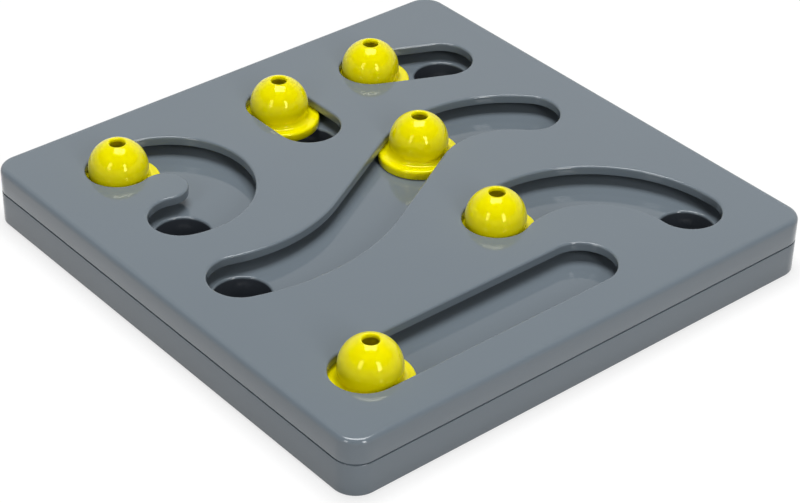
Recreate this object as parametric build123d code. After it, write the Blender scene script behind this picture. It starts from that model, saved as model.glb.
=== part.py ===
from build123d import *
import os
from math import acos, atan2, cos, degrees, radians, sin, sqrt

# Sliding treat puzzle for dogs: a square cover with six slots is screwed to a tray, and six knobs
# slide in the slots, each held down by its round flange between the cover and the tray's deck.
# Millimetres. +Z is up, the origin is the centre of the square on the surface the feet stand on.

# ---- driving dimensions ----

# the two shells
side = 300.0             # outer side of the square
corner_radius = 12.7     # outer vertical corners
tray_height = 17.8       # tray's rim up to the parting line
cover_height = 14.2      # parting line up to the top face
cover_wall = 3.9         # cover's flat top
skirt_wall = 2.8         # cover's upright sides
tray_wall = 2.6          # tray's sides, shoulder and deck
deck_depth = 11.3        # top face down to the deck that the sliders rest on
shell_clearance = 0.3    # between the cover's skirt and the tray's raised sides
top_round = 4.0          # cover's upper outer edge
rim_round = 0.5          # tray's lower outer edge
groove_height = 0.6      # shadow groove along the parting line
groove_depth = 0.9

# slots
slot_width = 34.8
slot_round = 1.0         # upper edge of every slot

# the sliders
dome_clearance = 1.5     # between a dome and each side of its slot
dome_lift = 0.7          # dome's centre above the cover's top face
flange_overlap = 4.4     # flange reaches this far under the cover on each side of the slot
flange_height = 5.0
flange_round = 1.3       # upper outer edge of the flange
flange_foot_round = 0.4  # lower outer edge of the flange
neck_round = 2.8         # hollow fillet between the dome and the flange
slider_wall = 2.2
scent_hole_radius = 4.2
scent_hole_round = 0.8
glide_gap = 0.3          # under the flange

# treat wells
well_radius = 15.0
well_depth = 16.0
well_draft = 1.4         # how much smaller the radius is at the floor
well_floor_round = 3.0
well_rim_round = 1.2

# screws, driven up from below
screw_shank_radius = 1.5
screw_head_radius = 3.5
screw_head_height = 2.4
screw_grip = 6.0         # length of shank inside the cover's boss
screw_seat = 3.0         # material between the screw head and the deck's top
screw_recess_width = 1.1
screw_recess_length = 4.2
screw_recess_depth = 1.3
thread_clearance = 0.1   # between the shank and its pilot hole
pass_clearance = 0.3     # between the shank and the tray's hole
head_clearance = 0.8     # around the screw head, for the driver
boss_wall = 2.0
boss_root = 0.5          # bosses run this far into the cover's flat top
boss_tip_gap = 1.0       # pilot hole beyond the tip of the screw
tube_lift = 2.0          # mouths of the screw tubes above the tray's rim

# feet
foot_proud = 1.0         # feet stand this far below the tray's rim
foot_radius = 8.5
foot_pocket = 1.6
foot_clearance = 0.3
foot_ledge = 2.0         # ring that the foot's disc bears on
foot_stem_height = 3.5
foot_post_wall = 2.0
foot_inset = 15.5        # centre of a foot in from the square's sides
foot_round = 0.5

# ribs under the deck
rib_width = 2.0
rib_depth = 13.0

# ---- sizes and heights that follow ----
dome_radius = slot_width / 2 - dome_clearance
flange_radius = slot_width / 2 + flange_overlap

rim_z = foot_proud
parting_z = rim_z + tray_height
top_z = parting_z + cover_height
cover_under_z = top_z - cover_wall
deck_z = top_z - deck_depth
deck_under_z = deck_z - tray_wall
dome_z = top_z + dome_lift
flange_under_z = deck_z + glide_gap
flange_top_z = flange_under_z + flange_height
screw_seat_z = deck_z - screw_seat
well_floor_z = deck_z - well_depth

half = side / 2
deck_half = half - skirt_wall - shell_clearance
deck_corner = corner_radius - skirt_wall - shell_clearance

# ---- plan of the six tracks ----
# The plan was laid out for a 300 mm square, and spreads or shrinks with the square's side.
plan = side / 300.0


def spot(x, y):
    return Vector(x * plan, y * plan)


def on_circle(centre, radius, angle):
    return Vector(centre.X + radius * cos(radians(angle)), centre.Y + radius * sin(radians(angle)))


# horseshoe, part of one circle
horseshoe_centre = spot(-76.4, -91.3)
horseshoe_radius = 29.7 * plan
horseshoe_start = 198.3    # slider's end, degrees
horseshoe_end = -18.0      # well's end

# short slot along X
short_start = spot(-104.6, 3.8)
short_end = spot(-77.6, 3.8)
short_rest = spot(-103.4, 3.8)

# short slanted slot
slant_start = spot(-104.0, 68.4)
slant_end = spot(-86.9, 106.1)

# S-shaped slot: two circles of opposite bend, joined by the line that touches both
wave_upper_centre = spot(26.9, 61.9)
wave_upper_radius = 59.5 * plan
wave_upper_end = 133.1
wave_lower_centre = spot(-87.8, -74.2)
wave_lower_radius = 106.6 * plan
wave_lower_end = -18.8
wave_rest = 201.7          # where its slider rests on the upper circle

# quarter-round slot
arch_centre = spot(106.8, 46.2)
arch_radius = 59.3 * plan
arch_start = 203.2         # slider's end
arch_end = 89.2            # well's end

# long straight slot along Y
straight_start = spot(108.7, -109.1)
straight_end = spot(108.7, 30.2)
straight_rest = spot(108.7, -105.5)

# screws: an even ring along the sides, and one in each clear place between the tracks
screw_inset = 11.5         # centres in from the square's sides
screw_edge = half - screw_inset
screw_spots = [
    Vector(-screw_edge, -57.5 * plan),
    Vector(-screw_edge, 35.5 * plan),
    Vector(-screw_edge, 110.5 * plan),
    Vector(-58.4 * plan, screw_edge),
    Vector(36.6 * plan, screw_edge),
    Vector(screw_edge, 68.5 * plan),
    Vector(66.6 * plan, -screw_edge),
    Vector(-15.4 * plan, -screw_edge),
    spot(-76.4, -30.5),
    spot(-63.4, 44.5),
    spot(91.6, 64.5),
    spot(48.6, -57.5),
]

rib_lines_x = [-25.4 * plan, 62.6 * plan]    # ribs that run along Y
rib_lines_y = [-59.5 * plan, 56.5 * plan]    # ribs that run along X

foot_centre = half - foot_inset
foot_spots = {
    "foot_front_left": Vector(-foot_centre, -foot_centre),
    "foot_front_right": Vector(foot_centre, -foot_centre),
    "foot_back_left": Vector(-foot_centre, foot_centre),
    "foot_back_right": Vector(foot_centre, foot_centre),
}


# ---- tracks ----

def bend(centre, radius, start, end):
    """Part of a circle from one angle to another, either way round."""
    return CenterArc(centre, radius, start, end - start)


def wave_track():
    """Upper circle, touching line, lower circle, from the plain end to the well's end."""
    across = wave_lower_centre - wave_upper_centre
    lean = degrees(acos((wave_upper_radius + wave_lower_radius) / across.length))
    turn = degrees(atan2(across.Y, across.X)) % 360 - lean
    leave = on_circle(wave_upper_centre, wave_upper_radius, turn)
    join = on_circle(wave_lower_centre, wave_lower_radius, turn - 180)
    upper = bend(wave_upper_centre, wave_upper_radius, wave_upper_end, turn)
    lower = bend(wave_lower_centre, wave_lower_radius, turn - 180, wave_lower_end)
    return [upper, Line(leave, join), lower]


tracks = {
    "horseshoe": [bend(horseshoe_centre, horseshoe_radius, horseshoe_start, horseshoe_end)],
    "short": [Line(short_start, short_end)],
    "slant": [Line(slant_start, slant_end)],
    "wave": wave_track(),
    "arch": [bend(arch_centre, arch_radius, arch_start, arch_end)],
    "straight": [Line(straight_start, straight_end)],
}

slider_spots = {
    "horseshoe": on_circle(horseshoe_centre, horseshoe_radius, horseshoe_start),
    "short": short_rest,
    "slant": slant_start,
    "wave": on_circle(wave_upper_centre, wave_upper_radius, wave_rest),
    "arch": on_circle(arch_centre, arch_radius, arch_start),
    "straight": straight_rest,
}

well_spots = [
    on_circle(horseshoe_centre, horseshoe_radius, horseshoe_end),
    short_end,
    slant_end,
    on_circle(wave_lower_centre, wave_lower_radius, wave_lower_end),
    on_circle(arch_centre, arch_radius, arch_end),
    straight_start,
]


# ---- shapes that repeat ----

def block(outline, low, high):
    """Outline raised from one height to another."""
    return extrude(Plane.XY.offset(low) * outline, high - low)


def rounded_block(reach, radius, low, high):
    return block(RectangleRounded(2 * reach, 2 * reach, radius), low, high)


def post(centre, radius, low, high):
    return block(Pos(centre.X, centre.Y) * Circle(radius), low, high)


def turned(outline):
    """Outline in X and Z turned once round Z."""
    return revolve(Plane.XZ * outline, Axis.Z, 360)


def edges_near(shape, height, kind=None):
    """Edges that lie flat at one height."""
    level = shape.edges().filter_by_position(Axis.Z, height - 0.001, height + 0.001)
    return level.filter_by(kind) if kind else level


# ---- cover ----

def cover_boss(centre):
    """Pillar under the cover, down to the deck, with a pilot hole for its screw."""
    pilot = screw_shank_radius + thread_clearance
    pillar = post(centre, pilot + boss_wall, deck_z, cover_under_z + boss_root)
    hole = post(centre, pilot, deck_z, deck_z + screw_grip + boss_tip_gap)
    return pillar, hole


def top_cover():
    shell = rounded_block(half, corner_radius, parting_z, top_z)
    shell = fillet(edges_near(shell, top_z), top_round)
    room = rounded_block(half - skirt_wall, corner_radius - skirt_wall, parting_z, cover_under_z)
    shell -= room
    outer = rounded_block(half, corner_radius, parting_z, parting_z + groove_height)
    inner = rounded_block(half - groove_depth, corner_radius - groove_depth,
                          parting_z, parting_z + groove_height)
    shell -= outer - inner
    for track in tracks.values():
        shell -= block(SlotArc(Wire(track), slot_width), cover_under_z, top_z)
    top = shell.faces().sort_by(Axis.Z)[-1]
    lips = [edge for wire in top.inner_wires() for edge in wire.edges()]
    shell = fillet(lips, slot_round)
    for centre in screw_spots:
        pillar, hole = cover_boss(centre)
        shell += pillar
        shell -= hole
    return shell


# ---- tray ----

def well_wall(centre):
    floor_low = well_floor_z - tray_wall
    return post(centre, well_radius + tray_wall, floor_low, deck_z)


def well_space(centre):
    """Room inside a well: drafted sides and a rounded floor."""
    floor_radius = well_radius - well_draft
    with BuildSketch() as outline:
        with BuildLine():
            Polyline((0, well_floor_z), (floor_radius, well_floor_z), (well_radius, deck_z),
                     (0, deck_z), close=True)
        make_face()
        corner = outline.vertices().sort_by_distance((floor_radius, well_floor_z))[0]
        fillet(corner, well_floor_round)
    return Pos(centre.X, centre.Y) * turned(outline.sketch)


def screw_tube(centre):
    reach = screw_head_radius + head_clearance
    tube = post(centre, reach + boss_wall, rim_z + tube_lift, deck_z)
    shaft = post(centre, reach, rim_z, screw_seat_z)
    hole = post(centre, screw_shank_radius + pass_clearance, screw_seat_z, deck_z)
    return tube, shaft + hole


def foot_post(centre):
    """Post that a foot plugs into: a shallow pocket, then a narrower bore."""
    pocket_radius = foot_radius + foot_clearance
    pillar = post(centre, pocket_radius + foot_post_wall, rim_z, deck_z)
    pocket = post(centre, pocket_radius, rim_z, rim_z + foot_pocket)
    bore = post(centre, foot_radius - foot_ledge, rim_z, deck_under_z)
    return pillar, pocket + bore


def ribs():
    low = deck_under_z - rib_depth
    length = 2 * (deck_half - tray_wall / 2)
    along_y = [block(Pos(x, 0) * Rectangle(rib_width, length), low, deck_z) for x in rib_lines_x]
    along_x = [block(Pos(0, y) * Rectangle(length, rib_width), low, deck_z) for y in rib_lines_y]
    return along_y + along_x


def base_tray():
    tray = rounded_block(half, corner_radius, rim_z, parting_z)
    tray = fillet(edges_near(tray, rim_z), rim_round)
    tray += rounded_block(deck_half, deck_corner, parting_z, deck_z)
    tray -= rounded_block(half - tray_wall, corner_radius - tray_wall, rim_z, parting_z - tray_wall)
    tray -= rounded_block(deck_half - tray_wall, deck_corner - tray_wall, rim_z, deck_under_z)
    outline = rounded_block(half - tray_wall / 2, corner_radius - tray_wall / 2, rim_z, parting_z)
    outline += rounded_block(deck_half - tray_wall / 2, deck_corner - tray_wall / 2, parting_z, deck_z)
    posts = [foot_post(centre) for centre in foot_spots.values()]
    tubes = [screw_tube(centre) for centre in screw_spots]
    walls = [well_wall(centre) for centre in well_spots] + ribs()
    walls += [solid for solid, space in posts + tubes]
    for wall in walls:
        tray += wall & outline
    for solid, space in posts + tubes:
        tray -= space
    for centre in well_spots:
        tray -= well_space(centre)
    rims = [edge for edge in edges_near(tray, deck_z, GeomType.CIRCLE)
            if abs(edge.radius - well_radius) < 0.01]
    return fillet(rims, well_rim_round)


# ---- sliders ----

def slider_shape():
    """Hollow knob turned round Z: dome with a scent hole, filleted neck, flange open below."""
    reach = dome_radius + neck_round
    drop = dome_z - flange_top_z - neck_round
    neck_x = sqrt(reach ** 2 - drop ** 2)                 # centre of the neck's hollow fillet
    touch_x = neck_x * dome_radius / reach                # where that fillet meets the dome
    touch_z = dome_z - drop * dome_radius / reach
    core = neck_x - neck_round - slider_wall              # straight bore up through the neck
    inside = dome_radius - slider_wall
    crown = dome_z + sqrt(dome_radius ** 2 - scent_hole_radius ** 2)
    ceiling = dome_z + sqrt(inside ** 2 - scent_hole_radius ** 2)
    spring = dome_z + sqrt(inside ** 2 - core ** 2)       # where the bore turns into the dome
    rim = flange_radius - slider_wall
    pocket_z = flange_top_z - slider_wall

    def at_dome(radius, angle):
        return (radius * cos(radians(angle)), dome_z + radius * sin(radians(angle)))

    neck_mid = on_circle(Vector(neck_x, flange_top_z + neck_round), neck_round,
                         (degrees(atan2(drop, -neck_x)) + 270) / 2)
    outer_mid = (degrees(atan2(crown - dome_z, scent_hole_radius)) - degrees(atan2(drop, neck_x))) / 2
    inner_mid = (degrees(atan2(ceiling - dome_z, scent_hole_radius))
                 + degrees(atan2(spring - dome_z, core))) / 2
    with BuildSketch() as outline:
        with BuildLine():
            Polyline((rim, flange_under_z), (flange_radius, flange_under_z),
                     (flange_radius, flange_top_z), (neck_x, flange_top_z))
            ThreePointArc((neck_x, flange_top_z), (neck_mid.X, neck_mid.Y), (touch_x, touch_z))
            ThreePointArc((touch_x, touch_z), at_dome(dome_radius, outer_mid),
                          (scent_hole_radius, crown))
            Line((scent_hole_radius, crown), (scent_hole_radius, ceiling))
            ThreePointArc((scent_hole_radius, ceiling), at_dome(inside, inner_mid), (core, spring))
            Polyline((core, spring), (core, pocket_z), (rim, pocket_z), (rim, flange_under_z))
        make_face()
        corners = outline.vertices()
        for point, radius in [
            ((scent_hole_radius, crown), scent_hole_round),
            ((flange_radius, flange_top_z), flange_round),
            ((flange_radius, flange_under_z), flange_foot_round),
        ]:
            fillet(corners.sort_by_distance(point)[0], radius)
            corners = outline.vertices()
    return turned(outline.sketch)


# ---- fastenings and feet ----

def screw(centre):
    head = post(centre, screw_head_radius, screw_seat_z - screw_head_height, screw_seat_z)
    head = fillet(edges_near(head, screw_seat_z - screw_head_height), screw_head_height / 2)
    shank = post(centre, screw_shank_radius, screw_seat_z, deck_z + screw_grip)
    shank = chamfer(edges_near(shank, deck_z + screw_grip), screw_shank_radius / 2)
    low = screw_seat_z - screw_head_height
    cross = Rectangle(screw_recess_length, screw_recess_width)
    cross += Rectangle(screw_recess_width, screw_recess_length)
    recess = block(Pos(centre.X, centre.Y) * cross, low, low + screw_recess_depth)
    return head + shank - recess


def foot(centre):
    disc = post(centre, foot_radius, 0, rim_z + foot_pocket)
    disc = fillet(edges_near(disc, 0), foot_round)
    stem_top = rim_z + foot_pocket + foot_stem_height
    stem = post(centre, foot_radius - foot_ledge - foot_clearance, rim_z, stem_top)
    return disc + chamfer(edges_near(stem, stem_top), foot_round)


# ---- write the nodes ----

def write(shape, name):
    export_step(shape, "parts/" + name + ".step")
    print(name, "solids", len(shape.solids()), "volume", round(shape.volume))


os.makedirs("parts", exist_ok=True)
write(top_cover(), "top_cover")
write(base_tray(), "base_tray")
knob = slider_shape()
for name, centre in slider_spots.items():
    write(Pos(centre.X, centre.Y) * knob, "slider_" + name)
for name, centre in foot_spots.items():
    write(foot(centre), name)
write(Compound([screw(centre) for centre in screw_spots]), "cover_screws")
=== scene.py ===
import math

import bmesh
import bpy
from mathutils import Matrix, Vector


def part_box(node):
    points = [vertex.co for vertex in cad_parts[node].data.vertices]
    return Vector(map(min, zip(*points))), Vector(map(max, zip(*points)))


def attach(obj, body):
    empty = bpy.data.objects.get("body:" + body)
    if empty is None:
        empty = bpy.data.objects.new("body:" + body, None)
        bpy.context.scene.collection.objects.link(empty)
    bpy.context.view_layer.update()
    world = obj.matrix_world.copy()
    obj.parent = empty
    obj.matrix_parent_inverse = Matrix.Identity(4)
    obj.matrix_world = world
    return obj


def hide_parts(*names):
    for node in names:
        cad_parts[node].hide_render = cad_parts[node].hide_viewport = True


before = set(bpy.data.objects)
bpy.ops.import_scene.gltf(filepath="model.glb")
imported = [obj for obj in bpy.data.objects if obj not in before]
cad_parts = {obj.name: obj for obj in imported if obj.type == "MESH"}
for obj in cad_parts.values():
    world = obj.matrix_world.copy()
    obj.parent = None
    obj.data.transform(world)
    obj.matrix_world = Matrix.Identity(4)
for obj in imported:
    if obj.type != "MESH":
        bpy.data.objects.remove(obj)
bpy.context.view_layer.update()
scene = bpy.context.scene
scene.view_settings.view_transform = "Standard"
print("frame loaded", sorted(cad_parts))

mm = 0.001  # shapes are drawn in millimetres, Blender's unit is the metre


def nodeBox(node):
    # lowest and highest corner of a CAD node, in millimetres
    low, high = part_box(node)
    return low / mm, high / mm


def nodeCentre(node):
    low, high = nodeBox(node)
    return ((low.x + high.x) / 2, (low.y + high.y) / 2)


# camera: turned about the square's middle, then moved sideways, up and back in its own directions;
# degrees and millimetres, but clip in metres
cameraSet = dict(azimuth=49.431, elevation=34.623, roll=1.236, lens=107.139, sensor=36.0,
                 sideways=3.008, upwards=-5.159, distance=1248.06, clip=(0.05, 50))


def makeCamera(s):
    data = bpy.data.cameras.new("camera")
    data.sensor_fit = "HORIZONTAL"
    data.sensor_width = s["sensor"]
    data.lens = s["lens"]
    data.clip_start, data.clip_end = s["clip"]
    camera = bpy.data.objects.new("camera", data)
    turn = (Matrix.Rotation(math.radians(s["azimuth"]), 4, "Z")
            @ Matrix.Rotation(math.radians(90 - s["elevation"]), 4, "X")
            @ Matrix.Rotation(math.radians(s["roll"]), 4, "Z"))
    place = turn @ Vector((s["sideways"] * mm, s["upwards"] * mm, s["distance"] * mm))
    camera.matrix_world = Matrix.Translation(place) @ turn
    scene.collection.objects.link(camera)
    scene.camera = camera


makeCamera(cameraSet)
print("camera made")


# lamps: bearing is degrees round from +X, height is degrees above the floor, distance and size are
# metres
lampSet = dict(
    overhead=dict(bearing=139.4, height=83.0, distance=1.6, size=(0.98, 0.78), watts=24.0),
    left=dict(bearing=-76.0, height=29.0, distance=1.6, size=(0.34, 0.80), watts=4.7),
    right=dict(bearing=-9.0, height=27.0, distance=1.6, size=(0.30, 0.80), watts=8.8),
)
lampTarget = Vector((0, 0, 0.03))


def makeLamp(name, bearing, height, distance, size, watts):
    a, e = math.radians(bearing), math.radians(height)
    out = Vector((math.cos(a) * math.cos(e), math.sin(a) * math.cos(e), math.sin(e)))
    data = bpy.data.lights.new(name, "AREA")
    data.shape = "RECTANGLE"
    data.size, data.size_y = size
    data.energy = watts
    lamp = bpy.data.objects.new(name, data)
    lamp.location = lampTarget + out * distance
    lamp.rotation_mode = "QUATERNION"
    lamp.rotation_quaternion = (-out).to_track_quat("-Z", "Y")
    scene.collection.objects.link(lamp)


for name, s in lampSet.items():
    makeLamp(name, **s)
print("lamps made")


class Wire:
    # an output socket that can be used in sums
    def __init__(self, finish, socket):
        self.finish, self.socket = finish, socket

    def sum(self, operation, first, second):
        return self.finish.add("ShaderNodeMath", dict(operation=operation), {0: first, 1: second})

    def __add__(self, other):
        return self.sum("ADD", self, other)

    def __radd__(self, other):
        return self.sum("ADD", other, self)

    def __sub__(self, other):
        return self.sum("SUBTRACT", self, other)

    def __rsub__(self, other):
        return self.sum("SUBTRACT", other, self)

    def __mul__(self, other):
        return self.sum("MULTIPLY", self, other)

    def __rmul__(self, other):
        return self.sum("MULTIPLY", other, self)


class Finish:
    # the nodes of a material or of the world
    def __init__(self, owner):
        owner.use_nodes = True
        self.owner, self.tree = owner, owner.node_tree
        self.tree.nodes.clear()

    def add(self, kind, settings=None, inputs=None, output=0):
        node = self.tree.nodes.new(kind)
        for key, value in (settings or {}).items():
            setattr(node, key, value)
        for key, value in (inputs or {}).items():
            socket = node.inputs[key]
            if isinstance(value, Wire):
                self.tree.links.new(value.socket, socket)
            elif socket.type == "RGBA" and len(value) == 3:
                socket.default_value = (*value, 1)
            else:
                socket.default_value = value
        return Wire(self, node.outputs[output]) if node.outputs else None

    def ramp(self, value, low, high):
        # 0 below low, 1 above high, smooth between them
        return self.add("ShaderNodeMapRange", dict(interpolation_type="SMOOTHSTEP", clamp=True),
                        {"Value": value, "From Min": low, "From Max": high})

    def blend(self, share, first, second):
        # the first colour where share is 0, the second where it is 1
        return self.add("ShaderNodeMix", dict(data_type="RGBA"), {0: share, 6: first, 7: second}, 2)

    def noise(self, where, scale, detail):
        # scale is about how many spots fit in a metre
        return self.add("ShaderNodeTexNoise", None,
                        {"Vector": where, "Scale": scale, "Detail": detail})

    def bump(self, height, strength, depth, under=None):
        # depth in millimetres; under is a bump that this one lies on
        inputs = {"Height": height, "Strength": strength, "Distance": depth * mm}
        if under:
            inputs["Normal"] = under
        return self.add("ShaderNodeBump", None, inputs)


def srgb(red, green, blue):
    # screen colour 0 to 255 as the linear colour that nodes use
    def one(c):
        c = c / 255
        return c / 12.92 if c <= 0.04045 else ((c + 0.055) / 1.055) ** 2.4
    return (one(red), one(green), one(blue))


# world: white to the camera; in reflections a white backdrop behind the object, dimmer high up, dark
# sides and pale walls low down; a soft fill for all other light. Angles are in degrees
worldSet = dict(fill=0.10, backdropBearing=139.4, backdropEdge=78.0, backdropFull=45.0,
                darkSide=0.05, paleBelow=30.0, dimAbove=40.0, dimmed=0.45,
                horizonFull=17.0, horizonEdge=26.0, horizon=0.85)


def makeWorld(s):
    def rise(degrees):
        # how high a direction this far above the horizon points
        return math.sin(math.radians(degrees))

    scene.world = bpy.data.worlds.new("studio")
    f = Finish(scene.world)
    direction = f.add("ShaderNodeTexCoord", None, None, "Generated")
    bearing = math.radians(s["backdropBearing"])
    towards = f.add("ShaderNodeVectorMath", dict(operation="DOT_PRODUCT"),
                    {0: direction, 1: (math.cos(bearing), math.sin(bearing), 0)}, "Value")
    backdrop = f.ramp(towards, math.cos(math.radians(s["backdropEdge"])),
                      math.cos(math.radians(s["backdropFull"])))
    # the backdrop grows dimmer with height
    height = f.add("ShaderNodeVectorMath", dict(operation="DOT_PRODUCT"),
                   {0: direction, 1: (0, 0, 1)}, "Value")
    dim = f.ramp(height, rise(s["paleBelow"]), rise(s["dimAbove"]))
    panel = s["darkSide"] + backdrop * (1 - dim * s["dimmed"]) * (1 - s["darkSide"])
    # pale walls all round near the horizon
    low = (1 - f.ramp(height, rise(s["horizonFull"]), rise(s["horizonEdge"]))) * s["horizon"]
    mirrored = f.add("ShaderNodeMath", dict(operation="MAXIMUM"), {0: panel, 1: low})
    seen = f.add("ShaderNodeLightPath", None, None, "Is Camera Ray")
    through = f.add("ShaderNodeLightPath", None, None, "Is Transmission Ray")
    glossy = f.add("ShaderNodeLightPath", None, None, "Is Glossy Ray")
    level = seen + through + glossy * mirrored + (1 - seen - through - glossy) * s["fill"]
    back = f.add("ShaderNodeBackground", None, {"Strength": level})
    f.add("ShaderNodeOutputWorld", None, {"Surface": back})


makeWorld(worldSet)

# floor: pale paper that bounces less light than the camera sees on it
floorSet = dict(size=3.0, colour=(0.50, 0.50, 0.50), shade=(0.485, 0.485, 0.485),
                grainScale=60.0, grainDetail=4.0, seenColour=(0.28, 0.28, 0.28), seenLift=0.72,
                mirroredLift=0.50)


def makeFloor(s):
    f = Finish(bpy.data.materials.new("floorPaper"))
    where = f.add("ShaderNodeTexCoord", None, None, "Object")
    colour = f.blend(f.noise(where, s["grainScale"], s["grainDetail"]), s["colour"], s["shade"])
    camera = f.add("ShaderNodeLightPath", None, None, "Is Camera Ray")
    glossy = f.add("ShaderNodeLightPath", None, None, "Is Glossy Ray")
    seen = f.blend(camera, colour, s["seenColour"])
    paper = f.add("ShaderNodeBsdfDiffuse", None, {"Color": seen})
    glow = f.add("ShaderNodeEmission", None,
                 {"Color": (1, 1, 1),
                  "Strength": camera * s["seenLift"] + glossy * s["mirroredLift"]})
    both = f.add("ShaderNodeAddShader", None, {0: paper, 1: glow})
    f.add("ShaderNodeOutputMaterial", None, {"Surface": both})
    bm = bmesh.new()
    bmesh.ops.create_grid(bm, x_segments=1, y_segments=1, size=s["size"])
    mesh = bpy.data.meshes.new("floor")
    bm.to_mesh(mesh)
    bm.free()
    mesh.materials.append(f.owner)
    floor = bpy.data.objects.new("floor", mesh)
    scene.collection.objects.link(floor)


makeFloor(floorSet)
print("floor and world made")


# moulded plastics: tint colours the mirrored light, depth is how much light goes into the wall and
# out again
plasticSet = dict(
    greyPlastic=dict(colour=srgb(110, 120, 128), shade=srgb(107, 117, 125), roughness=0.035),
    yellowPlastic=dict(colour=srgb(248, 231, 0), shade=srgb(244, 226, 0), roughness=0.05,
                       tint=(1.0, 0.92, 0.28), depth=0.6),
)
# their skin: clouds of tone, faint smudges, a slow wave and a fine peel; the wave's and the peel's
# depths and depthScale are millimetres
skinSet = dict(cloudScale=14.0, cloudDetail=3.0, smudgeScale=45.0, smudgeDetail=6.0, smudge=0.05,
               waveScale=30.0, waveDetail=1.0, waveStrength=0.3, waveDepth=0.1,
               peelScale=900.0, peelDetail=2.0, peelStrength=0.04, peelDepth=0.05,
               index=1.5, depthColour=(1.0, 0.9, 0.2), depthScale=6.0)


def paintedWellShade(f, where, tone, wellShade):
    # painted shade: a darker colour inside the wells, below their rims, where little light reaches
    height = f.add("ShaderNodeSeparateXYZ", None, {0: where}, "Z")
    flat = f.add("ShaderNodeVectorMath", dict(operation="MULTIPLY"), {0: where, 1: (1, 1, 0)})
    distances = [f.add("ShaderNodeVectorMath", dict(operation="DISTANCE"),
                       {0: flat, 1: (x * mm, y * mm, 0)}, "Value") for x, y in wellShade["places"]]
    nearest = distances[0]
    for distance in distances[1:]:
        nearest = f.add("ShaderNodeMath", dict(operation="MINIMUM"), {0: nearest, 1: distance})
    beside = f.ramp(nearest, wellShade["radius"] * mm, (wellShade["radius"] + wellShade["edge"]) * mm)
    above = f.ramp(height, wellShade["low"] * mm, wellShade["high"] * mm)
    clear = f.add("ShaderNodeMath", dict(operation="MAXIMUM"), {0: beside, 1: above})
    return f.blend(clear, wellShade["colour"], tone)


def plastic(name, colour, shade, roughness, tint=(1.0, 1.0, 1.0), depth=0.0, wellShade=None):
    s = skinSet
    f = Finish(bpy.data.materials.new(name))
    where = f.add("ShaderNodeTexCoord", None, None, "Object")
    tone = f.blend(f.noise(where, s["cloudScale"], s["cloudDetail"]), colour, shade)
    # painted shade inside the wells, when it is given
    if wellShade:
        tone = paintedWellShade(f, where, tone, wellShade)
    smudges = f.noise(where, s["smudgeScale"], s["smudgeDetail"])
    wave = f.bump(f.noise(where, s["waveScale"], s["waveDetail"]), s["waveStrength"],
                  s["waveDepth"])
    peel = f.bump(f.noise(where, s["peelScale"], s["peelDetail"]), s["peelStrength"],
                  s["peelDepth"], wave)
    skin = f.add("ShaderNodeBsdfPrincipled", None, {
        "Base Color": tone,
        "Roughness": roughness + smudges * s["smudge"],
        "IOR": s["index"],
        "Specular Tint": tint,
        "Subsurface Weight": depth,
        "Subsurface Radius": s["depthColour"],
        "Subsurface Scale": s["depthScale"] * mm,
        "Normal": peel,
    })
    f.add("ShaderNodeOutputMaterial", None, {"Surface": skin})
    return f.owner


rubberSet = dict(colour=srgb(48, 50, 52), dust=srgb(74, 75, 76), roughness=0.62,
                 dustScale=420.0, dustDetail=6.0, dustFrom=0.45, dustFull=0.8, dustDullness=0.2,
                 grainScale=2600.0, grainDetail=3.0, grainStrength=0.35, grainDepth=0.1)


def rubber(s):
    # dull black rubber with a cast grain and a little dust
    f = Finish(bpy.data.materials.new("footRubber"))
    where = f.add("ShaderNodeTexCoord", None, None, "Object")
    dust = f.noise(where, s["dustScale"], s["dustDetail"])
    grain = f.noise(where, s["grainScale"], s["grainDetail"])
    skin = f.add("ShaderNodeBsdfPrincipled", None, {
        "Base Color": f.blend(f.ramp(dust, s["dustFrom"], s["dustFull"]), s["colour"], s["dust"]),
        "Roughness": s["roughness"] + dust * s["dustDullness"],
        "Normal": f.bump(grain, s["grainStrength"], s["grainDepth"]),
    })
    f.add("ShaderNodeOutputMaterial", None, {"Surface": skin})
    return f.owner


steelSet = dict(colour=srgb(178, 178, 180), worn=srgb(150, 148, 144), roughness=0.24,
                mottleScale=700.0, mottleDetail=5.0, mottleDullness=0.15,
                grainScale=5000.0, grainDetail=2.0, grainStrength=0.15, grainDepth=0.03)


def steel(s):
    # zinc-plated steel: bright, a little mottled
    f = Finish(bpy.data.materials.new("screwSteel"))
    where = f.add("ShaderNodeTexCoord", None, None, "Object")
    mottle = f.noise(where, s["mottleScale"], s["mottleDetail"])
    grain = f.noise(where, s["grainScale"], s["grainDetail"])
    skin = f.add("ShaderNodeBsdfPrincipled", None, {
        "Base Color": f.blend(mottle, s["colour"], s["worn"]),
        "Metallic": 1.0,
        "Roughness": s["roughness"] + mottle * s["mottleDullness"],
        "Normal": f.bump(grain, s["grainStrength"], s["grainDepth"]),
    })
    f.add("ShaderNodeOutputMaterial", None, {"Surface": skin})
    return f.owner


finishes = {name: plastic(name, **s) for name, s in plasticSet.items()}
finishes["footRubber"] = rubber(rubberSet)
finishes["screwSteel"] = steel(steelSet)
print("materials made")


# modelling helpers
circleSteps, cornerSteps, capSteps = 64, 14, 30  # edges of a circle, a square's corner, a slot's end
bendStep = 3            # degrees of a track's bend for each edge
weldDistance = 0.0001   # points of a wall that are nearer than this are one
levelTolerance = 0.001  # an edge this near to a height lies at it
sharpAngle = 35         # an edge that turns more than this is shaded sharp
flatEdge = 0.5          # ring of a flat beside a rounded edge, which keeps the flat's shading flat


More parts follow.
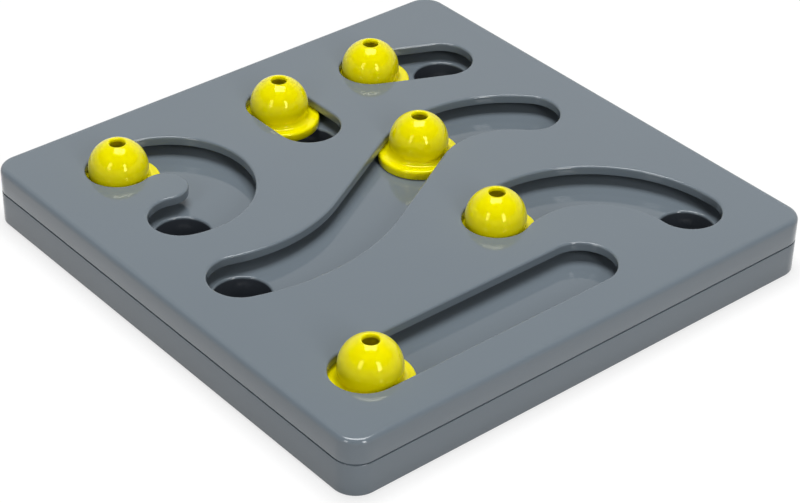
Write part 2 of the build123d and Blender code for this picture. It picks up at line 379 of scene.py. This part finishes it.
class Outline:
    # a chain of loose edges, drawn point after point
    def __init__(self, bm, start, axis=(0, 0, 1)):
        self.bm, self.axis = bm, axis
        self.first = self.tip = bm.verts.new(start)
        self.edges = []

    def line(self, point):
        corner = self.bm.verts.new(point)
        self.edges.append(self.bm.edges.new((self.tip, corner)))
        self.tip = corner

    def arc(self, centre, degrees, steps):
        known = len(self.bm.edges)
        made = bmesh.ops.spin(self.bm, geom=[self.tip], cent=centre, axis=self.axis,
                              angle=math.radians(degrees), steps=steps)
        self.bm.edges.ensure_lookup_table()
        self.edges += self.bm.edges[known:]
        self.tip = [part for part in made["geom_last"] if isinstance(part, bmesh.types.BMVert)][0]

    def close(self):
        self.edges.append(self.bm.edges.new((self.tip, self.first)))

    def arcHome(self, centre, degrees, steps):
        # an arc that ends on the first point
        self.arc(centre, degrees * (steps - 1) / steps, steps - 1)
        self.close()


def drawCircle(bm, centre, radius, z):
    pen = Outline(bm, (centre[0] + radius, centre[1], z))
    pen.arcHome((centre[0], centre[1], z), 360, circleSteps)
    return pen.edges


def drawSquare(bm, size, inset, z):
    # size is half the side and the corner radius
    edge, corner = size[0] - inset, size[1] - inset
    flat = edge - corner
    pen = Outline(bm, (edge, -flat, z))
    pen.line((edge, flat, z))
    pen.arc((flat, flat, z), 90, cornerSteps)
    pen.line((-flat, edge, z))
    pen.arc((-flat, flat, z), 90, cornerSteps)
    pen.line((-edge, -flat, z))
    pen.arc((-flat, -flat, z), 90, cornerSteps)
    pen.line((flat, -edge, z))
    pen.arcHome((flat, -flat, z), 90, cornerSteps)
    return pen.edges


def drawBar(bm, size, inset, z):
    # size is the lowest and highest corner in plan
    (x0, y0), (x1, y1) = size
    pen = Outline(bm, (x0 + inset, y0 + inset, z))
    pen.line((x1 - inset, y0 + inset, z))
    pen.line((x1 - inset, y1 - inset, z))
    pen.line((x0 + inset, y1 - inset, z))
    pen.close()
    return pen.edges


def onCircle(centre, radius, degrees):
    a = math.radians(degrees)
    return (centre[0] + radius * math.cos(a), centre[1] + radius * math.sin(a))


def bend(centre, radius, start, end):
    return dict(centre=centre, radius=radius, start=start, end=end)


def straight(start, end):
    return dict(start=start, end=end)


def trackPoint(step, share):
    # place on one step of a track, and the direction to its right there
    if "centre" in step:
        angle = step["start"] + (step["end"] - step["start"]) * share
        place = onCircle(step["centre"], step["radius"], angle)
        outward = onCircle((0, 0), 1, angle)
        side = 1 if step["end"] > step["start"] else -1
        return place, (outward[0] * side, outward[1] * side)
    (x0, y0), (x1, y1) = step["start"], step["end"]
    length = math.hypot(x1 - x0, y1 - y0)
    return ((x0 + (x1 - x0) * share, y0 + (y1 - y0) * share),
            ((y1 - y0) / length, (x0 - x1) / length))


def drawSlot(bm, track, reach, z):
    # along the right side of the track, round its end, back and round its start
    (x, y), (right, up) = trackPoint(track[0], 0)
    start = (x, y, z)
    pen = Outline(bm, (x + right * reach, y + up * reach, z))

    def follow(step, sign):
        if "centre" in step:
            turn = (step["end"] - step["start"]) * sign
            pen.arc((*step["centre"], z), turn, max(2, round(abs(turn) / bendStep)))
        else:
            (x0, y0), (x1, y1) = step["start"], step["end"]
            pen.line(pen.tip.co + Vector((x1 - x0, y1 - y0, 0)) * sign)

    for step in track:
        follow(step, 1)
    end = trackPoint(track[-1], 1)[0]
    pen.arc((*end, z), 180, capSteps)
    for step in reversed(track):
        follow(step, -1)
    pen.arcHome(start, 180, capSteps)
    return pen.edges


def quarter(reach, z, radius, start, end, steps):
    # points of a rounded edge as (reach, height)
    return [(reach + radius * math.cos(math.radians(start + (end - start) * i / steps)),
             z + radius * math.sin(math.radians(start + (end - start) * i / steps)))
            for i in range(steps + 1)]


def joinInto(bm, part):
    # puts a finished part of the shape into the whole
    mesh = bpy.data.meshes.new("part")
    part.to_mesh(mesh)
    part.free()
    bm.from_mesh(mesh)
    bpy.data.meshes.remove(mesh)


def stack(bm, draw, plan, stations, closed=False, ring=False):
    # a wall through the outlines that draw makes of plan at each (reach, height), band by band;
    # closed fills its ends, ring joins the last station to the first
    wall = bmesh.new()
    following = stations[1:] + stations[:1] if ring else stations[1:]
    for low, high in zip(stations, following):
        band = bmesh.new()
        rims = draw(band, plan, *low) + draw(band, plan, *high)
        bmesh.ops.bridge_loops(band, edges=rims)
        joinInto(wall, band)
    bmesh.ops.remove_doubles(wall, verts=wall.verts, dist=weldDistance)
    if closed:
        fillFlat(wall, stations[0][1])
        fillFlat(wall, stations[-1][1])
    joinInto(bm, wall)


def fillFlat(bm, z):
    # a flat face over all the open rims at one height
    rims = [edge for edge in bm.edges if edge.is_boundary
            and all(abs(vert.co.z - z) < levelTolerance for vert in edge.verts)]
    bmesh.ops.triangle_fill(bm, use_beauty=True, use_dissolve=False, normal=(0, 0, 1), edges=rims)


def finishPiece(bm, name, finish, body, node):
    bmesh.ops.recalc_face_normals(bm, faces=bm.faces)
    bmesh.ops.scale(bm, vec=(mm, mm, mm), verts=bm.verts)
    mesh = bpy.data.meshes.new(name)
    bm.to_mesh(mesh)
    bm.free()
    mesh.shade_smooth()
    mesh.set_sharp_from_angle(angle=math.radians(sharpAngle))
    mesh.materials.append(finishes[finish])
    piece = bpy.data.objects.new(name, mesh)
    scene.collection.objects.link(piece)
    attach(piece, body)
    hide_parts(node)


# heights and sizes from the frame, in millimetres
coverLow, coverHigh = nodeBox("top_cover")
trayLow, trayHigh = nodeBox("base_tray")
halfSide, topZ, partingZ = coverHigh.x, coverHigh.z, coverLow.z
deckZ, rimZ = trayHigh.z, trayLow.z
cornerRadius = 12.7
knobNames = ["horseshoe", "short", "slant", "wave", "arch", "straight"]
knobPlaces = {name: nodeCentre("slider_" + name) for name in knobNames}

# tracks that the knobs run in
waveUpper, waveUpperRadius = (26.9, 61.9), 59.5
waveLower, waveLowerRadius = (-87.8, -74.2), 106.6


def waveTrack():
    # two bends and the line that touches both
    across = (waveLower[0] - waveUpper[0], waveLower[1] - waveUpper[1])
    lean = math.degrees(math.acos((waveUpperRadius + waveLowerRadius) / math.hypot(*across)))
    turn = math.degrees(math.atan2(across[1], across[0])) % 360 - lean
    leave = onCircle(waveUpper, waveUpperRadius, turn)
    join = onCircle(waveLower, waveLowerRadius, turn - 180)
    return [bend(waveUpper, waveUpperRadius, 133.1, turn), straight(leave, join),
            bend(waveLower, waveLowerRadius, turn - 180, -18.8)]


tracks = dict(
    horseshoe=[bend((-76.4, -91.3), 29.7, 198.3, -18.0)],
    short=[straight((-104.6, 3.8), (-77.6, 3.8))],
    slant=[straight((-104.0, 68.4), (-86.9, 106.1))],
    wave=waveTrack(),
    arch=[bend((106.8, 46.2), 59.3, 203.2, 89.2)],
    straight=[straight((108.7, 30.2), (108.7, -109.1))],
)
wellPlaces = [trackPoint(track[-1], 1)[0] for track in tracks.values()]

# screws, along the edges and between the tracks
screwInset = 11.5
screwEdge = halfSide - screwInset
screwPlaces = [(-screwEdge, -57.5), (-screwEdge, 35.5), (-screwEdge, 110.5), (-58.4, screwEdge),
               (36.6, screwEdge), (screwEdge, 68.5), (66.6, -screwEdge), (-15.4, -screwEdge),
               (-76.4, -30.5), (-63.4, 44.5), (91.6, 64.5), (48.6, -57.5)]


# cover
coverSet = dict(wall=3.9, skirtWall=2.8, topEase=6.0, easeAngle=12.0, topRound=2.6, insideRound=0.8,
                grooveHeight=0.6, grooveDepth=0.9, grooveRound=0.5,
                slotReach=17.4, slotRound=1.1, slotUnderRound=0.4, lipWidth=1.8, lipDrop=1.1,
                bossRadius=3.6, bossFlare=1.0, pilotRadius=1.6, pilotDepth=7.0,
                smallSteps=3, slotSteps=6, topSteps=9, easeSteps=5)


def makeCover(s):
    bm = bmesh.new()
    underZ, grooveZ = topZ - s["wall"], partingZ + s["grooveHeight"]
    inner = s["skirtWall"] + s["insideRound"]
    wall = [(inner + flatEdge, underZ)]
    wall += quarter(inner, underZ - s["insideRound"], s["insideRound"], 90, 180, s["smallSteps"])
    wall += [(s["skirtWall"], partingZ), (s["grooveDepth"], partingZ), (s["grooveDepth"], grooveZ)]
    wall += quarter(s["grooveRound"], grooveZ + s["grooveRound"], s["grooveRound"], 270, 180,
                    s["smallSteps"])
    # the top eases down at its edge before the tighter round
    ease = math.radians(s["easeAngle"])
    roundZ = topZ - s["topEase"] + (s["topEase"] - s["topRound"]) * math.cos(ease)
    easeReach = s["topRound"] + (s["topEase"] - s["topRound"]) * math.sin(ease)
    wall += quarter(s["topRound"], roundZ, s["topRound"], 180, 90 + s["easeAngle"], s["topSteps"])
    wall += quarter(easeReach, topZ - s["topEase"], s["topEase"], 90 + s["easeAngle"], 90,
                    s["easeSteps"])[1:]
    wall += [(easeReach + flatEdge, topZ)]
    stack(bm, drawSquare, (halfSide, cornerRadius), wall)

    # slots, with a lip that hangs under their edges
    under = s["slotReach"] + s["slotUnderRound"]
    over = s["slotReach"] + s["slotRound"]
    lipOut, lipZ = s["slotReach"] + s["lipWidth"], underZ - s["lipDrop"]
    lip = [(lipOut + flatEdge, underZ), (lipOut, underZ), (lipOut, lipZ)]
    lip += quarter(under, lipZ + s["slotUnderRound"], s["slotUnderRound"], 270, 180,
                   s["smallSteps"])
    lip += quarter(over, topZ - s["slotRound"], s["slotRound"], 180, 90, s["slotSteps"])
    lip += [(over + flatEdge, topZ)]
    for track in tracks.values():
        stack(bm, drawSlot, track, lip)

    # bosses that the screws go into
    pilotTopZ = deckZ + s["pilotDepth"]
    boss = [(s["bossRadius"] + s["bossFlare"], underZ), (s["bossRadius"], underZ - flatEdge),
            (s["bossRadius"], deckZ), (s["pilotRadius"], deckZ), (s["pilotRadius"], pilotTopZ)]
    for place in screwPlaces:
        stack(bm, drawCircle, place, boss)
    for z in (pilotTopZ, underZ, topZ):
        fillFlat(bm, z)
    finishPiece(bm, "coverShell", "greyPlastic", "shell", "top_cover")


makeCover(coverSet)
print("cover made")


# tray
traySet = dict(wall=2.6, deckInset=3.1, rimRound=0.5, edgeRound=0.3, deckRound=0.4,
               wellRadius=15.0, wellDepth=16.0, wellDraft=1.4, wellFloorRound=3.0, wellRimRound=1.2,
               screwSeat=3.0, passRadius=1.8, shaftRadius=4.3, tubeRadius=6.3, tubeLift=2.0,
               footInset=15.5, postRadius=10.8, pocketRadius=8.8, pocketDepth=1.6, boreRadius=6.5,
               ribWidth=2.0, ribDepth=13.0, ribRound=0.4, ribsAlongY=(-25.4, 62.6),
               ribsAlongX=(-59.5, 56.5), sinkStep=0.6, smallSteps=3, rimSteps=4, wellSteps=8)


def ribSpans(s, offset, places):
    # a rib's lengths from wall to wall, cut where it meets a screw tube's bore
    reach = halfSide - s["deckInset"] - s["wall"] / 2
    middle = (s["shaftRadius"] + s["tubeRadius"]) / 2
    stops = [-reach]
    for along, across in sorted(places):
        gap = abs(across - offset)
        if gap < middle:
            back = math.sqrt(middle ** 2 - gap ** 2)
            stops += [along - back, along + back]
    stops += [reach]
    return zip(stops[::2], stops[1::2])


def ribBars(s):
    thick = s["ribWidth"] / 2
    bars = []
    for x in s["ribsAlongY"]:
        for low, high in ribSpans(s, x, [(y, x0) for x0, y in screwPlaces]):
            bars.append(((x - thick, low), (x + thick, high)))
    for y in s["ribsAlongX"]:
        for low, high in ribSpans(s, y, screwPlaces):
            bars.append(((low, y - thick), (high, y + thick)))
    return bars


# the tray's plastic, with painted shade down in the wells where little light reaches
trayFinish = dict(colour=srgb(109, 119, 127), shade=srgb(106, 116, 124), roughness=0.045)
# painted shade: the darker colour of the wells' insides and where it starts and ends
wellShadeSet = dict(colour=srgb(62, 67, 74), places=wellPlaces, radius=16.4, edge=0.4,
                  low=deckZ - 1.6, high=deckZ - 0.3)
finishes["trayPlastic"] = plastic("trayPlastic", wellShade=wellShadeSet, **trayFinish)


def makeTray(s):
    wall, sink = s["wall"], s["wall"] / 2
    underZ, shoulderZ = deckZ - wall, partingZ - wall
    floorZ, seatZ = deckZ - s["wellDepth"], deckZ - s["screwSeat"]

    # side walls: from the deck's underside down inside, round the rim, up outside to the deck
    bm = bmesh.new()
    inner = s["deckInset"] + wall
    deckEdge = s["deckInset"] + s["deckRound"]
    side = [(inner + flatEdge, underZ), (inner, underZ), (inner, shoulderZ), (wall, shoulderZ),
            (wall, rimZ)]
    side += quarter(s["rimRound"], rimZ + s["rimRound"], s["rimRound"], 270, 180, s["rimSteps"])
    side += quarter(s["edgeRound"], partingZ - s["edgeRound"], s["edgeRound"], 180, 90,
                    s["smallSteps"])
    side += [(s["deckInset"], partingZ)]
    side += quarter(deckEdge, deckZ - s["deckRound"], s["deckRound"], 180, 90, s["smallSteps"])
    side += [(deckEdge + flatEdge, deckZ)]
    stack(bm, drawSquare, (halfSide, cornerRadius), side)

    # wells, drafted inside and straight outside
    rim = s["wellRadius"] + s["wellRimRound"]
    floor = s["wellRadius"] - s["wellDraft"] - s["wellFloorRound"]
    outer = s["wellRadius"] + wall
    inside = [(rim + flatEdge, deckZ)]
    inside += quarter(rim, deckZ - s["wellRimRound"], s["wellRimRound"], 90, 180, s["wellSteps"])
    inside += quarter(floor, floorZ + s["wellFloorRound"], s["wellFloorRound"], 0, -90,
                      s["wellSteps"])
    inside += [(floor - flatEdge, floorZ)]
    outside = [(outer + flatEdge, underZ), (outer, underZ)]
    outside += quarter(outer - flatEdge, floorZ - wall + flatEdge, flatEdge, 0, -90,
                       s["smallSteps"])
    outside += [(outer - flatEdge * 2, floorZ - wall)]
    for place in wellPlaces:
        stack(bm, drawCircle, place, inside)
        stack(bm, drawCircle, place, outside)

    # screw holes through the deck; tubes, foot posts and ribs are sunk into it from below
    hole, sunkZ, tubeZ = s["passRadius"], underZ + sink, rimZ + s["tubeLift"]
    for place in screwPlaces:
        stack(bm, drawCircle, place, [(hole + flatEdge, deckZ), (hole, deckZ), (hole, underZ),
                                      (hole + flatEdge, underZ)])
        tube = [(hole + s["sinkStep"], sunkZ), (hole + s["sinkStep"], seatZ),
                (s["shaftRadius"], seatZ), (s["shaftRadius"], tubeZ),
                (s["tubeRadius"], tubeZ), (s["tubeRadius"], sunkZ)]
        stack(bm, drawCircle, place, tube, ring=True)
    footEdge, pocketZ = halfSide - s["footInset"], rimZ + s["pocketDepth"]
    for place in [(x, y) for x in (-footEdge, footEdge) for y in (-footEdge, footEdge)]:
        post = [(s["boreRadius"], underZ), (s["boreRadius"], pocketZ), (s["pocketRadius"], pocketZ),
                (s["pocketRadius"], rimZ), (s["postRadius"], rimZ), (s["postRadius"], sunkZ)]
        stack(bm, drawCircle, place, post, closed=True)
    ribZ = underZ - s["ribDepth"]
    for bar in ribBars(s):
        stack(bm, drawBar, bar, [(0, sunkZ), (0, ribZ + s["ribRound"]), (s["ribRound"], ribZ)],
              closed=True)
    for z in (deckZ, underZ, floorZ, floorZ - wall):
        fillFlat(bm, z)
    finishPiece(bm, "trayShell", "trayPlastic", "shell", "base_tray")


makeTray(traySet)
print("tray made")


# knobs
knobSet = dict(domeRadius=15.9, domeLift=0.7, flangeRadius=21.8, flangeHeight=5.0, flangeRound=1.3,
               footRound=0.4, neckRound=2.8, wall=2.2, holeRadius=4.2, holeRound=0.8,
               footSteps=3, flangeSteps=6, neckSteps=10, domeSteps=40, holeSteps=6,
               insideSteps=16, aroundSteps=128)


def makeKnob(s, name, place):
    # outside from the foot up over the dome, down through the scent hole, and back inside
    bm = bmesh.new()
    domeZ = topZ + s["domeLift"]
    flangeLowZ = nodeBox("slider_" + name)[0].z
    flangeTopZ = flangeLowZ + s["flangeHeight"]
    neckZ = flangeTopZ + s["neckRound"]
    neckX = math.sqrt((s["domeRadius"] + s["neckRound"]) ** 2 - (domeZ - neckZ) ** 2)
    touch = math.degrees(math.atan2(domeZ - neckZ, neckX))
    inside = s["domeRadius"] - s["wall"]
    core = neckX - s["neckRound"] - s["wall"]
    rim = s["flangeRadius"] - s["wall"]
    foot, shoulder = s["flangeRadius"] - s["footRound"], s["flangeRadius"] - s["flangeRound"]
    pen = Outline(bm, (rim, 0, flangeLowZ), axis=(0, -1, 0))
    pen.line((foot, 0, flangeLowZ))
    pen.arc((foot, 0, flangeLowZ + s["footRound"]), 90, s["footSteps"])
    pen.line((s["flangeRadius"], 0, flangeTopZ - s["flangeRound"]))
    pen.arc((shoulder, 0, flangeTopZ - s["flangeRound"]), 90, s["flangeSteps"])
    pen.line((neckX, 0, flangeTopZ))
    pen.arc((neckX, 0, neckZ), -90 - touch, s["neckSteps"])
    # the hole's rounded lip touches the dome from inside, and the hole's wall
    lipX = s["holeRadius"] + s["holeRound"]
    lipZ = domeZ + math.sqrt((s["domeRadius"] - s["holeRound"]) ** 2 - lipX ** 2)
    lipAngle = math.degrees(math.atan2(lipZ - domeZ, lipX))
    pen.arc((0, 0, domeZ), lipAngle + touch, s["domeSteps"])
    pen.arc((lipX, 0, lipZ), 180 - lipAngle, s["holeSteps"])
    ceiling = domeZ + math.sqrt(inside ** 2 - s["holeRadius"] ** 2)
    spring = domeZ + math.sqrt(inside ** 2 - core ** 2)
    pen.line((s["holeRadius"], 0, ceiling))
    sweep = (math.degrees(math.atan2(ceiling - domeZ, s["holeRadius"]))
             - math.degrees(math.atan2(spring - domeZ, core)))
    pen.arc((0, 0, domeZ), -sweep, s["insideSteps"])
    pen.line((core, 0, flangeTopZ - s["wall"]))
    pen.line((rim, 0, flangeTopZ - s["wall"]))
    pen.close()
    bmesh.ops.spin(bm, geom=bm.verts[:] + bm.edges[:], cent=(0, 0, 0), axis=(0, 0, 1),
                   angle=math.radians(360), steps=s["aroundSteps"], use_merge=True)
    bmesh.ops.translate(bm, vec=(*place, 0), verts=bm.verts)
    finishPiece(bm, "knob" + name.capitalize(), "yellowPlastic", name + "_slider",
                "slider_" + name)


for name, place in knobPlaces.items():
    makeKnob(knobSet, name, place)
print("knobs made")


# feet
footSet = dict(edgeRound=0.6, grooveRadius=5.6, grooveWidth=0.9, grooveDepth=0.35,
               ledge=2.0, clearance=0.3, stemHeight=3.5, stemRound=0.5, edgeSteps=5)


def makeFoot(s, node):
    low, high = nodeBox(node)
    place, radius = nodeCentre(node), (high.x - low.x) / 2
    ledgeZ = high.z - s["stemHeight"]
    stem = radius - s["ledge"] - s["clearance"]
    sole = radius - s["edgeRound"]
    bm = bmesh.new()
    # a shallow ring in the sole, then round the disc and up the stem
    ring, width, floorZ = s["grooveRadius"], s["grooveWidth"] / 2, low.z + s["grooveDepth"]
    profile = [(ring - width - flatEdge, low.z), (ring - width, low.z), (ring - width / 2, floorZ),
               (ring + width / 2, floorZ), (ring + width, low.z)]
    profile += [(sole - flatEdge, low.z)]
    profile += quarter(sole, low.z + s["edgeRound"], s["edgeRound"], -90, 0, s["edgeSteps"])
    profile += [(radius, ledgeZ), (stem, ledgeZ), (stem, high.z - s["stemRound"]),
                (stem - s["stemRound"], high.z)]
    stack(bm, drawCircle, place, profile, closed=True)
    finishPiece(bm, "rubber" + "".join(word.capitalize() for word in node.split("_")),
                "footRubber", "shell", node)


for node in sorted(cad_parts):
    if node.startswith("foot_"):
        makeFoot(footSet, node)
print("feet made")


# screws
screwSet = dict(headRadius=3.5, headHeight=2.4, headRound=1.0, crossReach=2.1, crossDepth=1.3,
                crossTaper=0.55, armShare=0.26, coreRadius=1.2, tipRadius=0.4, threadRadius=1.55,
                threadRoot=1.08, threadHalf=0.325, threadPitch=1.3, threadStart=1.6,
                headSteps=6, turnSteps=16)


def drawCross(bm, place, reach, z):
    # a plus sign: three corners, turned four times
    arm = reach * screwSet["armShare"]
    corners = [(reach, -arm), (reach, arm), (arm, arm)]
    points = []
    for turn in range(4):
        for x, y in corners:
            for _ in range(turn):
                x, y = -y, x
            points.append((place[0] + x, place[1] + y, z))
    pen = Outline(bm, points[0])
    for point in points[1:]:
        pen.line(point)
    pen.close()
    return pen.edges


def makeScrews(s):
    low, high = nodeBox("cover_screws")
    seatZ, tipZ = low.z + s["headHeight"], high.z
    bm = bmesh.new()
    headFlat = s["headRadius"] - s["headRound"]
    head = quarter(headFlat, low.z + s["headRound"], s["headRound"], -90, 0, s["headSteps"])
    head += [(s["headRadius"], seatZ), (s["coreRadius"], seatZ),
             (s["coreRadius"], tipZ - s["coreRadius"]), (s["tipRadius"], tipZ)]
    recess = [(s["crossReach"], low.z), (s["crossReach"] * s["crossTaper"], low.z + s["crossDepth"])]
    for place in screwPlaces:
        stack(bm, drawCircle, place, head)
        stack(bm, drawCross, place, recess)
    for z in (low.z, low.z + s["crossDepth"], tipZ):
        fillFlat(bm, z)
    turns = (tipZ - s["coreRadius"] - seatZ - s["threadStart"]) / s["threadPitch"]
    steps = round(turns * s["turnSteps"])
    for x, y in screwPlaces:
        # the thread's three-sided ridge climbs round the core
        thread = bmesh.new()
        z = seatZ + s["threadStart"]
        pen = Outline(thread, (x + s["threadRoot"], y, z - s["threadHalf"]))
        pen.line((x + s["threadRadius"], y, z))
        pen.line((x + s["threadRoot"], y, z + s["threadHalf"]))
        pen.close()
        bmesh.ops.spin(thread, geom=thread.verts[:] + thread.edges[:], cent=(x, y, z),
                       axis=(0, 0, 1), angle=math.radians(360) * turns, steps=steps,
                       dvec=(0, 0, s["threadPitch"] * turns / steps))
        bmesh.ops.holes_fill(thread, edges=thread.edges[:], sides=3)
        joinInto(bm, thread)
    finishPiece(bm, "coverScrews", "screwSteel", "shell", "cover_screws")


makeScrews(screwSet)
print("screws made")
